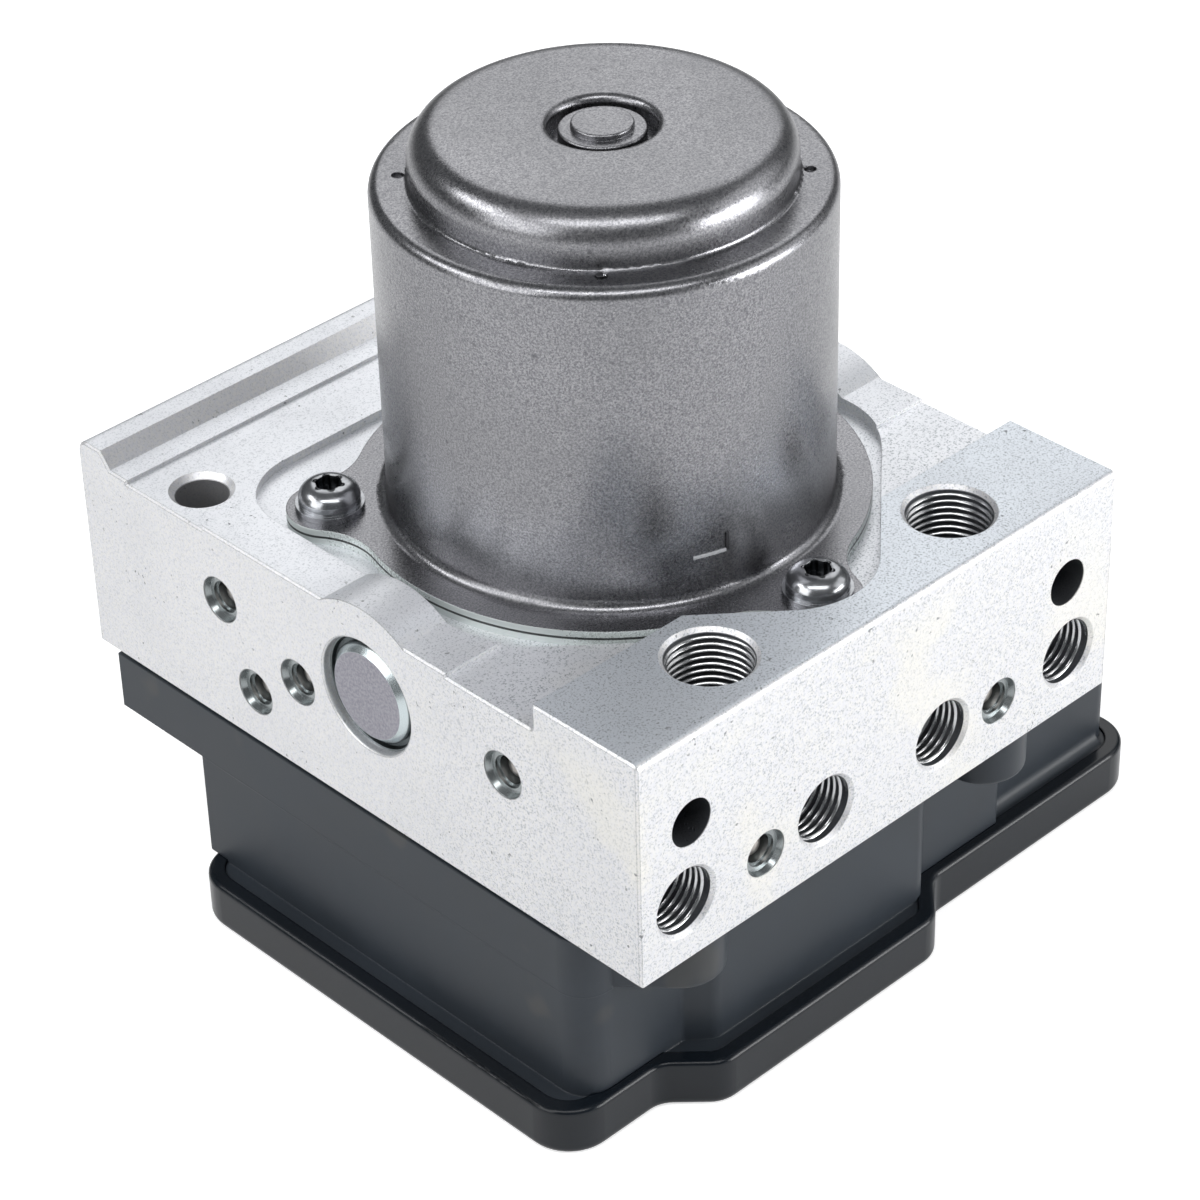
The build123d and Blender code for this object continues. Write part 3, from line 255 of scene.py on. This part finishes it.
def block_material():
    """Machined aluminium: sandy grain, faint mill marks, clustered dark pits, painted light on the top faces
    and painted shade in the bores.
    """
    s = Shader("block_metal")
    x, y, z = s.axes(s.place)
    sand = s.noise(3600, 2, 0.7)
    cloud = s.noise(38, 4)
    tone = s.mix(s.ramp(s.noise(2300, 1, 0.5), 0.35, 0.65), (0.78, 0.785, 0.815), (0.83, 0.825, 0.82))
    # Painted light: top faces get a cooler tint, as from the light above, and top faces below the bar are
    # painted lighter against the shade there from the bar and the can
    upward = s.ramp(s.normal(2), 0.8, 0.95)
    tone = s.mix(upward, tone, (0.76, 0.80, 0.85))
    painted_light_below_bar = s.ramp(z, (BAR_Z - 0.2) * MM, (BAR_Z - 0.6) * MM)
    tone = s.mix(s.times(upward, painted_light_below_bar), tone, (0.89, 0.905, 0.94))
    # Dark grains, more of them towards the front
    near = s.ramp(y, 2.0 * MM, -30.0 * MM)
    coarse = s.times(s.ramp(sand, 0.50, 0.68), s.plus(0.45, s.times(near, 0.55)))
    weight = s.plus(0.75, s.times(upward, 0.2))
    tone = s.mix(s.times(coarse, weight), tone, (0.34, 0.37, 0.40))
    tone = s.mix(s.ramp(cloud, 0.40, 0.72, 0.0, 0.22), tone, (0.66, 0.67, 0.70))
    below_edge = s.ramp(z, (BAR_Z - 1.0) * MM, (BAR_Z - 7.0) * MM)
    warm = s.times(s.ramp(s.noise(55, 2, 0.5), 0.50, 0.62), near, below_edge)
    tone = s.mix(s.times(warm, 0.45), tone, (0.86, 0.84, 0.77))
    pits = s.times(s.ramp(s.noise(1250, 2, 0.5), 0.66, 0.72), s.ramp(s.noise(110, 2), 0.52, 0.60))
    tone = s.mix(s.times(pits, 0.8), tone, (0.15, 0.16, 0.17))
    # A thin dark line round the left face, then painted shade in the ports, the mounting holes and the
    # corner bore
    left = s.ramp(x, (LEFT_X + 0.6) * MM, (LEFT_X + 0.3) * MM)
    tone = s.mix(s.times(s.edges(0.22 * MM), left, 0.85), tone, (0.10, 0.105, 0.11))
    tone = s.mix(s.times(painted_shade_holes(s, x, y, z), 0.93), tone, (0.05, 0.055, 0.065))
    corner_bore_shade = s.bore(s.math("ABSOLUTE", x), y, z, CORNER_BORE, CORNER_R, MILLED_Z - 13.2, MILLED_Z)
    tone = s.mix(s.times(corner_bore_shade, 0.6), tone, (0.12, 0.12, 0.13))
    rough = s.plus(s.ramp(cloud, 0.3, 0.7, 0.40, 0.48), s.ramp(sand, 0.3, 0.8, -0.03, 0.06))
    s.surface(tone, 0.7, rough)
    mill = s.noise(420, 2, stretch=(0.12, 1.0, 1.0))
    s.bump(s.plus(s.times(sand, 0.6), s.times(pits, -1.2), s.times(mill, 0.25)), 0.05 * MM, 0.6, 0.12 * MM)
    return s.material


def can_material():
    """Zinc plated sheet steel: sparkling fine grain, cloudy sheen, drawn rings and pale sheared edges."""
    s = Shader("can_metal")
    x, y, z = s.axes(s.place)
    base = 0.275
    grain = s.noise(3800, 2, 0.75)
    spark = s.noise(2600, 1, 0.5)
    cloud = s.noise(48)
    radius = s.size(x, y)
    dark = shade((0.60, 0.60, 0.66), base)
    light = shade((1.40, 1.40, 1.45), base)
    tone = s.mix(s.ramp(grain, 0.30, 0.70), dark, light)
    tone = s.mix(s.ramp(cloud, 0.35, 0.7, 0.0, 0.25), tone, shade((0.82, 0.83, 0.86), base))
    specks = s.ramp(s.noise(950, 2, 0.5), 0.69, 0.74)
    tone = s.mix(s.times(specks, 0.55), tone, (0.10, 0.10, 0.11))
    # Rings left by drawing, on the dome's top only
    on_top = s.ramp(z, (DOME_Z - 0.7) * MM, (DOME_Z - 0.3) * MM)
    ring = s.times(s.rings(radius, 1500), s.times(on_top, s.ramp(radius, 22.0 * MM, 12.0 * MM)))
    # Sheared edges of the can's flange and the end plate below it, with a dark seam between them
    rim = s.ramp(radius, (FLANGE_R - 2.1) * MM, (FLANGE_R - 1.3) * MM)
    sheets = s.band(z, (FLANGE_SEAM_Z - 0.1) * MM, 1.2 * MM, 0.2 * MM)
    sheared = s.times(s.upright(), rim, sheets)
    tone = s.mix(sheared, tone, (0.66, 0.71, 0.70))
    seam = s.times(sheared, s.band(z, FLANGE_SEAM_Z * MM, 0.12 * MM, 0.1 * MM))
    tone = s.mix(seam, tone, (0.04, 0.045, 0.045))
    metallic = s.math("SUBTRACT", 1.0, s.times(sheared, 0.6))
    rough = s.plus(s.ramp(cloud, 0.3, 0.7, 0.25, 0.33), s.ramp(spark, 0.3, 0.7, -0.03, 0.04))
    s.surface(tone, metallic, rough)
    # A soft dent low on the front, near the lanced mark
    dent = s.ramp(s.far(x, z, DENT), 0.0, 1.6 * MM, -4.0, 0.0)
    dent = s.times(dent, s.ramp(y, -26.0 * MM, -28.0 * MM))
    s.bump(s.plus(grain, s.times(spark, 0.8), s.times(ring, 1.6), dent), 0.02 * MM, 0.6, 0.2 * MM)
    return s.material


def metal_material(name, colour, low, high, scale=1200, edge=0.1, dirt_tone=0.45, shade_in_drive=False):
    """Small bright metal parts, with a bevel of edge millimetres. The last flag paints shade into the
    screws' drive.
    """
    s = Shader(name)
    grain = s.noise(scale)
    dirt = s.noise(scale * 0.2)
    tone = s.mix(s.ramp(dirt, 0.4, 0.75, 0.0, 0.5), colour, shade(colour, dirt_tone))
    tone = s.mix(s.ramp(grain, 0.35, 0.7, 0.0, 0.35), tone, shade(colour, 0.7))
    if shade_in_drive:
        # Painted shade: the screws' drive is darkened inside its top few millimetres
        x, y, z = s.axes(s.place)
        side = s.math("ABSOLUTE", x)
        near = s.math("MINIMUM", s.far(side, y, SCREWS[0]), s.far(side, y, SCREWS[1]))
        drive = s.times(
            s.ramp(near, (DRIVE_R + 0.4) * MM, (DRIVE_R + 0.2) * MM),
            s.ramp(z, (SCREW_TOP_Z - 0.2) * MM, (SCREW_TOP_Z - 0.6) * MM),
            s.ramp(z, (SCREW_TOP_Z - 3.8) * MM, (SCREW_TOP_Z - 2.8) * MM),
        )
        tone = s.mix(s.times(drive, 0.85), tone, (0.05, 0.055, 0.06))
    s.surface(tone, 1.0, s.ramp(grain, 0.3, 0.7, low, high))
    s.bump(grain, 0.004 * MM, 0.5, edge * MM)
    return s.material


def plug_material():
    """Steel plugs: the pump plug's matt mauve-grey disc, a painted highlight on its chamfer and painted
    shade in its groove.
    """
    s = Shader("plug_metal")
    _, y, z = s.axes(s.place)
    radius = s.size(y, s.math("SUBTRACT", z, PUMP_Z * MM))
    grain = s.noise(2600)
    cloud = s.noise(130)
    outward = s.ramp(s.math("ABSOLUTE", s.normal(0)), 0.97, 0.99)
    disc = s.times(s.ramp(radius, (DISC_R + 0.1) * MM, (DISC_R - 0.1) * MM), outward)
    matt = s.mix(s.ramp(grain, 0.3, 0.7), (0.27, 0.265, 0.305), (0.40, 0.395, 0.435))
    matt = s.mix(s.ramp(cloud, 0.45, 0.75, 0.0, 0.3), matt, (0.42, 0.41, 0.45))
    metal = s.mix(s.ramp(cloud, 0.3, 0.7), (0.30, 0.325, 0.33), (0.35, 0.375, 0.38))
    pump_plug = s.ramp(radius, (PLUG_R + 0.3) * MM, (PLUG_R + 0.2) * MM)
    # Painted highlight on the pump plug's chamfer, then painted shade in its groove
    inner, outer = (GROOVE_R - 0.3) * MM, (GROOVE_R - 0.1) * MM
    chamfer = s.times(pump_plug, s.ramp(radius, outer, inner))
    metal = s.mix(chamfer, metal, (0.62, 0.69, 0.71))
    groove_end = s.ramp(radius, (PLUG_R - 0.15) * MM, (PLUG_R - 0.3) * MM)
    groove = s.times(pump_plug, s.ramp(radius, inner, outer), groove_end)
    metal = s.mix(groove, metal, (0.09, 0.105, 0.11))
    rough = s.plus(s.times(disc, 0.24), s.ramp(cloud, 0.3, 0.7, 0.22, 0.26))
    s.surface(s.mix(disc, metal, matt), 0.9, rough)
    s.bump(grain, 0.003 * MM, 0.5, 0.04 * MM)
    return s.material


def plastic_material(name, colour, low, high, line_z=None):
    """Black nylon with fine grain, cloudy sheen and scuffs, and a mould line at line_z where it is given."""
    s = Shader(name)
    cloud = s.noise(60, 4)
    scuff = s.ramp(s.noise(520, 4, 0.7, stretch=(1.0, 1.0, 2.5)), 0.70, 0.76)
    tone = s.mix(s.ramp(cloud, 0.3, 0.7), colour, shade(colour, 1.25))
    tone = s.mix(s.times(scuff, 0.5), tone, shade(colour, 1.7))
    height = s.times(s.noise(2600), 0.5)
    if line_z:
        z = s.axes(s.place)[2]
        line = s.times(s.band(z, line_z * MM, 0.05 * MM, 0.1 * MM), s.upright())
        height = s.plus(height, s.times(line, 2.0))
        smear = s.times(s.ramp(s.noise(75, 2, 0.5), 0.62, 0.70), s.ramp(z, 10.0 * MM, 16.0 * MM))
        tone = s.mix(s.times(smear, 0.4), tone, (0.070, 0.068, 0.062))
    s.surface(tone, 0.0, s.ramp(cloud, 0.3, 0.7, low, high))
    s.bsdf.inputs["Specular IOR Level"].default_value = 0.36
    s.bump(height, 0.02 * MM, 0.5, 0.35 * MM)
    return s.material


def plain_material(name, colour, rough, metallic=0.0):
    """Grained finish for the pieces inside and for small marks, among them the dark ones of painted shade.
    """
    s = Shader(name)
    grain = s.noise(1500)
    tone = s.mix(s.ramp(grain, 0.3, 0.7), shade(colour, 0.85), colour)
    s.surface(tone, metallic, s.ramp(grain, 0.2, 0.8, rough - 0.05, rough + 0.05))
    s.bump(grain, 0.01 * MM, 0.4)
    return s.material


MATERIALS = {
    "block_aluminium": block_material(),
    "can_steel": can_material(),
    "screw_zinc": metal_material("screw_metal", (0.44, 0.45, 0.47), 0.18, 0.27, shade_in_drive=True),
    "plug_steel": plug_material(),
    "ball_steel": metal_material("ball_metal", (0.44, 0.41, 0.39), 0.30, 0.42, scale=1600, dirt_tone=0.7),
    "steel": metal_material("ground_steel", (0.56, 0.56, 0.57), 0.22, 0.34),
    "piston_aluminium": metal_material("piston_metal", (0.62, 0.62, 0.64), 0.3, 0.4),
    "lamination": plain_material("lamination_metal", (0.16, 0.16, 0.17), 0.5, 0.8),
    "ferrite": plain_material("magnet_ferrite", (0.07, 0.07, 0.075), 0.6),
    "copper": plain_material("copper_wire", (0.62, 0.26, 0.12), 0.3, 1.0),
    "bronze": plain_material("bronze_metal", (0.5, 0.33, 0.16), 0.35, 1.0),
    "tinned_brass": plain_material("contact_metal", (0.72, 0.70, 0.64), 0.25, 1.0),
    "carbon": plain_material("brush_carbon", (0.03, 0.03, 0.03), 0.55),
    "inner_plastic": plain_material("inner_black", (0.03, 0.03, 0.034), 0.5),
    "housing_plastic": plastic_material("housing_black", (0.025, 0.031, 0.039), 0.38, 0.46, MOULD_LINE_Z),
    "cover_plastic": plastic_material("cover_black", (0.005, 0.0075, 0.011), 0.17, 0.24),
    "board_green": plain_material("board_lacquer", (0.03, 0.14, 0.06), 0.35),
    "seal_rubber": plain_material("seal_black", (0.015, 0.015, 0.015), 0.7),
}
slots = {row["node"]: row["material_slot"] for row in frame["record"]["subparts"]}
for node, obj in frame["nodes"].items():
    for place in obj.material_slots:
        place.material = MATERIALS[slots[node]]


# Mesh helpers, in millimetres
def mesh_object(name, shape, material, smooth=True):
    """An object that rides the module, from a shape given as its points and faces."""
    verts, faces = shape
    mesh = bpy.data.meshes.new(name)
    mesh.from_pydata([tuple(c * MM for c in v) for v in verts], [], faces)
    mesh.update()
    obj = bpy.data.objects.new(name, mesh)
    bpy.context.scene.collection.objects.link(obj)
    obj.data.materials.append(material)
    if smooth:
        for polygon in mesh.polygons:
            polygon.use_smooth = True
    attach(obj, "module")


def basis(axis):
    """Two unit vectors square to axis, and the unit vector along it."""
    axis = Vector(axis).normalized()
    side = Vector((0, 0, 1)) if abs(axis.z) < 0.9 else Vector((1, 0, 0))
    u = side.cross(axis).normalized()
    return u, axis.cross(u), axis


def lathe(profile, centre, steps):
    """A profile of (radius, height) turned about the vertical through centre."""
    u, v, w = basis((0, 0, 1))
    centre = Vector(centre)
    verts, faces = [], []
    for radius, height in profile:
        for step in range(steps):
            angle = 2 * math.pi * step / steps
            verts.append(centre + radius * (math.cos(angle) * u + math.sin(angle) * v) + height * w)
    for ring in range(len(profile) - 1):
        for step in range(steps):
            a = ring * steps + step
            b = ring * steps + (step + 1) % steps
            faces.append((a, b, b + steps, a + steps))
    return verts, faces


def join(parts):
    verts, faces = [], []
    for new_verts, new_faces in parts:
        start = len(verts)
        verts += new_verts
        faces += [tuple(i + start for i in face) for face in new_faces]
    return verts, faces


# Threads of the ports, with the places of root and crest as parts of the pitch
THREAD_PITCH = 1.0
THREAD_HEIGHT = 0.35
THREAD_GAP = 0.01
THREAD_START = 0.35
THREAD_STEPS = 64
FADE_TURNS = 0.25
ROOT_SHIFTS = (0.28, 0.72)
CREST_SHIFTS = (0.46, 0.54)
PORT_THREAD_DEPTH = 10.4
INLET_THREAD_DEPTH = 12.2


def thread(mouth, axis, root, depth):
    """Helical ridge on the wall of a tapped hole. axis points out of the hole at its mouth."""
    u, v, w = basis(axis)
    mouth = Vector(mouth)
    count = int((depth - THREAD_START) / THREAD_PITCH * THREAD_STEPS)
    verts, faces = [], []
    for i in range(count + 1):
        angle = 2 * math.pi * i / THREAD_STEPS
        down = THREAD_START + THREAD_PITCH * i / THREAD_STEPS
        out = math.cos(angle) * u + math.sin(angle) * v
        crest = root - THREAD_HEIGHT * min(1.0, i / (THREAD_STEPS * FADE_TURNS))
        section = (
            (root, ROOT_SHIFTS[0]),
            (crest, CREST_SHIFTS[0]),
            (crest, CREST_SHIFTS[1]),
            (root, ROOT_SHIFTS[1]),
        )
        for radius, shift in section:
            verts.append(mouth + radius * out - (down + shift * THREAD_PITCH) * w)
    for i in range(count):
        for k in range(3):
            a = 4 * i + k
            faces.append((a, a + 1, a + 5, a + 4))
    return verts, faces


thread_metal = metal_material(
    "thread_metal", (0.62, 0.63, 0.64), 0.22, 0.26, scale=700, edge=0.04, dirt_tone=0.85
)
threads = []
for x in (-PORT_X[1], -PORT_X[0], PORT_X[0], PORT_X[1]):
    threads.append(thread((x, FRONT_Y, PORT_Z), (0, -1, 0), PORT_R - THREAD_GAP, PORT_THREAD_DEPTH))
for x in (-INLET_X, INLET_X):
    threads.append(thread((x, INLET_Y, BAR_Z), (0, 0, 1), INLET_R - THREAD_GAP, INLET_THREAD_DEPTH))
mesh_object("port_threads", join(threads), thread_metal)


# Small marks on the can and the rim
def strip_on_can(start, end, low, high, steps):
    """Closed raised strip on the can's side, between two angles in degrees and two heights."""
    proud = 0.2
    bevel = 0.3 * proud
    inner, outer = CAN_R - 0.05, CAN_R + proud
    section = (
        (inner, low),
        (inner, high),
        (outer - bevel, high),
        (outer, high - bevel),
        (outer, low + bevel),
        (outer - bevel, low),
    )
    verts, faces = [], []
    for i in range(steps + 1):
        angle = math.radians(start + (end - start) * i / steps)
        for radius, height in section:
            verts.append(Vector((radius * math.cos(angle), radius * math.sin(angle), height)))
    sides = len(section)
    for i in range(steps):
        for k in range(sides):
            a = i * sides + k
            b = i * sides + (k + 1) % sides
            faces.append((a, b, b + sides, a + sides))
    faces.append(tuple(reversed(range(sides))))
    faces.append(tuple(range(steps * sides, (steps + 1) * sides)))
    return verts, faces


def ragged_bead(start, end, x, z, size, count, seed):
    """Closed uneven bead of moulding flash that runs along Y and stays inside the rim's outer face."""
    draw = random.Random(seed)
    sides = 7
    verts, faces = [], []
    width = size
    for i in range(count + 1):
        width += 0.55 * (size * draw.uniform(0.25, 1.6) - width)
        ends = min(1.0, 0.15 + 4.0 * min(i, count - i) / count)
        y = start + (end - start) * (i + draw.uniform(-0.3, 0.3)) / count
        for k in range(sides):
            angle = 2 * math.pi * k / sides
            reach = width * ends * draw.uniform(0.75, 1.15)
            across = max(x + reach * math.cos(angle), RIM_X + 0.01)
            verts.append(Vector((across, y, z + 0.8 * reach * math.sin(angle))))
    for i in range(count):
        for k in range(sides):
            a = i * sides + k
            b = i * sides + (k + 1) % sides
            faces.append((a, a + sides, b + sides, b))
    faces.append(tuple(range(sides)))
    faces.append(tuple(reversed(range(count * sides, (count + 1) * sides))))
    return verts, faces


# The lanced mark is an L: a bright foot, a sheared edge made light partly by its bare metal and partly by
# painted highlight, and a dark upright leg at the foot's right end, a strip of painted shade in the lanced
# gap
MARK_LEFT, MARK_RIGHT = -114.0, -105.3
MARK_Z = 70.5
sheared_edge_and_highlight = plain_material("sheared_edge_highlight", (0.42, 0.43, 0.45), 0.35)
painted_shade_mark = plain_material("shadowed_edge", (0.05, 0.05, 0.055), 0.45, 0.6)
mark_foot = strip_on_can(MARK_LEFT, MARK_RIGHT, MARK_Z - 0.2, MARK_Z + 0.25, steps=14)
mark_side = strip_on_can(MARK_RIGHT, MARK_RIGHT + 0.7, MARK_Z, MARK_Z + 2.6, steps=3)
mesh_object("lanced_mark_foot", mark_foot, sheared_edge_and_highlight, smooth=False)
mesh_object("lanced_mark_side", mark_side, painted_shade_mark, smooth=False)

# The vent pit nearest the camera, on the can's shoulder, a dark cup of painted shade, with its raised burr
pit_profile = ((0.0, 0.08), (0.45, 0.08), (0.58, 0.0), (0.55, -0.1), (0.0, -0.1))
burr_profile = ((0.0, 0.22), (0.16, 0.15), (0.24, 0.0), (0.24, -0.1), (0.0, -0.1))
burr_place = (VENT_PIT[0] + 0.3, VENT_PIT[1] - 0.45, SHOULDER_Z)
pit = lathe(pit_profile, (*VENT_PIT, SHOULDER_Z), 24)
burr = lathe(burr_profile, burr_place, 16)
mesh_object("vent_pit_front", pit, painted_shade_mark)
mesh_object("vent_burr_front", burr, MATERIALS["screw_zinc"])

# Moulding flash along the rim's left top edge
flash = ragged_bead(-12.0, -34.5, RIM_X + 0.18, COVER_TOP_Z - 0.04, size=0.24, count=130, seed=11)
mesh_object("rim_flash", flash, MATERIALS["cover_plastic"], smooth=False)

# Light, floor and camera, in metres and degrees
WHITE = (1.0, 1.0, 1.0, 1.0)
SKY_TINT = (0.94, 0.97, 1.0, 1.0)
SKY_LOW = 0.12
SKY_HIGH = 0.2
SKY_HIGH_AT = 0.9
FLOOR_HALF = 6.0
FLOOR_Z = -0.00002
FLOOR_GREY = (0.8, 0.8, 0.8, 1.0)
FLOOR_MIRRORED = 0.3
FLOOR_SEEN_NEAR = 0.62
FLOOR_SEEN_FAR = 1.0
FLOOR_FADE = (0.2, 0.7)
AIM = Vector((0, 0, 0.06))
CAMERA_PLACE = (-0.29137, -0.30446, 0.34035)
CAMERA_AZIMUTH, CAMERA_ELEVATION, CAMERA_ROLL = -43.48, 35.02, -1.59
CAMERA_LENS = 114.986
# Name, azimuth, elevation, distance, size and power of each softbox
LIGHTS = (
    ("right", -38, 30, 0.8, (0.6, 0.45), 0.9),
    ("right_low", -60, 8, 0.8, (0.5, 0.3), 4.2),
    ("back", 40, 40, 0.7, (0.6, 0.5), 1.2),
    ("left", 176, 25, 0.8, (0.5, 0.5), 2.0),
    ("top", -133, 60, 0.8, (0.8, 0.17), 2.3),
    ("left_back", 140, 40, 0.8, (0.4, 0.2), 1.3),
)


def map_range(tree, value, source, target):
    """A node that maps value from one range of two numbers to another."""
    node = tree.nodes.new("ShaderNodeMapRange")
    node.inputs["From Min"].default_value, node.inputs["From Max"].default_value = source
    node.inputs["To Min"].default_value, node.inputs["To Max"].default_value = target
    tree.links.new(value, node.inputs["Value"])
    return node


def larger(tree, a, b):
    node = tree.nodes.new("ShaderNodeMath")
    node.operation = "MAXIMUM"
    tree.links.new(a, node.inputs[0])
    tree.links.new(b, node.inputs[1])
    return node.outputs[0]


def choose(tree, factor, plain, special):
    """The plain shader, or the special one where factor is 1."""
    mix = tree.nodes.new("ShaderNodeMixShader")
    tree.links.new(factor, mix.inputs[0])
    tree.links.new(plain.outputs[0], mix.inputs[1])
    tree.links.new(special.outputs[0], mix.inputs[2])
    return mix.outputs[0]


def set_world():
    """White where the camera looks, and a dim sky, lighter overhead, for light and reflections."""
    world = bpy.data.worlds.new("studio")
    bpy.context.scene.world = world
    world.use_nodes = True
    tree = world.node_tree
    tree.nodes.clear()
    output = tree.nodes.new("ShaderNodeOutputWorld")
    path = tree.nodes.new("ShaderNodeLightPath")
    split = tree.nodes.new("ShaderNodeSeparateXYZ")
    tree.links.new(tree.nodes.new("ShaderNodeTexCoord").outputs["Generated"], split.inputs[0])
    rise = map_range(tree, split.outputs[2], (0.0, SKY_HIGH_AT), (SKY_LOW, SKY_HIGH))
    rise.interpolation_type = "SMOOTHSTEP"
    sky = tree.nodes.new("ShaderNodeBackground")
    sky.inputs[0].default_value = SKY_TINT
    tree.links.new(rise.outputs[0], sky.inputs[1])
    white = tree.nodes.new("ShaderNodeBackground")
    white.inputs[0].default_value = WHITE
    white.inputs[1].default_value = 1.0
    tree.links.new(choose(tree, path.outputs["Is Camera Ray"], sky, white), output.inputs[0])


def set_floor():
    """A pale floor that keeps shadows and adds a white glow for the camera and for reflections."""
    mesh = bpy.data.meshes.new("floor")
    r = FLOOR_HALF
    corners = [(x, y, FLOOR_Z) for x, y in ((-r, -r), (r, -r), (r, r), (-r, r))]
    mesh.from_pydata(corners, [], [(0, 1, 2, 3)])
    obj = bpy.data.objects.new("floor", mesh)
    bpy.context.scene.collection.objects.link(obj)
    material = bpy.data.materials.new("floor_white")
    material.use_nodes = True
    tree = material.node_tree
    tree.nodes.clear()
    output = tree.nodes.new("ShaderNodeOutputMaterial")
    path = tree.nodes.new("ShaderNodeLightPath")
    camera_ray = path.outputs["Is Camera Ray"]
    reach = tree.nodes.new("ShaderNodeVectorMath")
    reach.operation = "LENGTH"
    tree.links.new(tree.nodes.new("ShaderNodeTexCoord").outputs["Object"], reach.inputs[0])
    fade = map_range(tree, reach.outputs["Value"], FLOOR_FADE, (FLOOR_SEEN_NEAR, FLOOR_SEEN_FAR))
    strength = map_range(tree, camera_ray, (0.0, 1.0), (FLOOR_MIRRORED, FLOOR_SEEN_FAR))
    tree.links.new(fade.outputs[0], strength.inputs["To Max"])
    diffuse = tree.nodes.new("ShaderNodeBsdfDiffuse")
    diffuse.inputs[0].default_value = FLOOR_GREY
    glow = tree.nodes.new("ShaderNodeEmission")
    glow.inputs[0].default_value = WHITE
    tree.links.new(strength.outputs[0], glow.inputs[1])
    both = tree.nodes.new("ShaderNodeAddShader")
    tree.links.new(diffuse.outputs[0], both.inputs[0])
    tree.links.new(glow.outputs[0], both.inputs[1])
    mirrored = larger(tree, path.outputs["Is Glossy Ray"], path.outputs["Is Transmission Ray"])
    seen = larger(tree, camera_ray, mirrored)
    tree.links.new(choose(tree, seen, diffuse, both), output.inputs[0])
    obj.data.materials.append(material)


def set_camera():
    """A camera at CAMERA_PLACE that looks along its azimuth and elevation, turned by its roll."""
    angles = (CAMERA_AZIMUTH, CAMERA_ELEVATION, CAMERA_ROLL)
    azimuth, elevation, roll = (math.radians(angle) for angle in angles)
    back = Vector((
        math.sin(azimuth) * math.cos(elevation),
        -math.cos(azimuth) * math.cos(elevation),
        math.sin(elevation),
    ))
    right = Vector((math.cos(azimuth), math.sin(azimuth), 0))
    up = back.cross(right)
    turned_right = math.cos(roll) * right + math.sin(roll) * up
    turned_up = -math.sin(roll) * right + math.cos(roll) * up
    data = bpy.data.cameras.new("camera")
    data.lens = CAMERA_LENS
    data.sensor_width = 36
    data.clip_start = 0.01
    obj = bpy.data.objects.new("camera", data)
    bpy.context.scene.collection.objects.link(obj)
    turn = Matrix((turned_right, turned_up, back)).transposed().to_4x4()
    obj.matrix_world = Matrix.Translation(CAMERA_PLACE) @ turn
    bpy.context.scene.camera = obj


def softbox(name, azimuth, elevation, distance, size, power):
    """A rectangular lamp that looks at the middle of the object from that direction."""
    data = bpy.data.lights.new(name, "AREA")
    data.shape = "RECTANGLE"
    data.size, data.size_y = size
    data.energy = power
    obj = bpy.data.objects.new(name, data)
    bpy.context.scene.collection.objects.link(obj)
    a, e = math.radians(azimuth), math.radians(elevation)
    way = Vector((math.cos(a) * math.cos(e), math.sin(a) * math.cos(e), math.sin(e)))
    obj.location = AIM + way * distance
    obj.rotation_euler = way.to_track_quat("Z", "Y").to_euler()


bpy.context.scene.view_settings.view_transform = "Standard"
set_world()
set_floor()
set_camera()
for light in LIGHTS:
    softbox(*light)
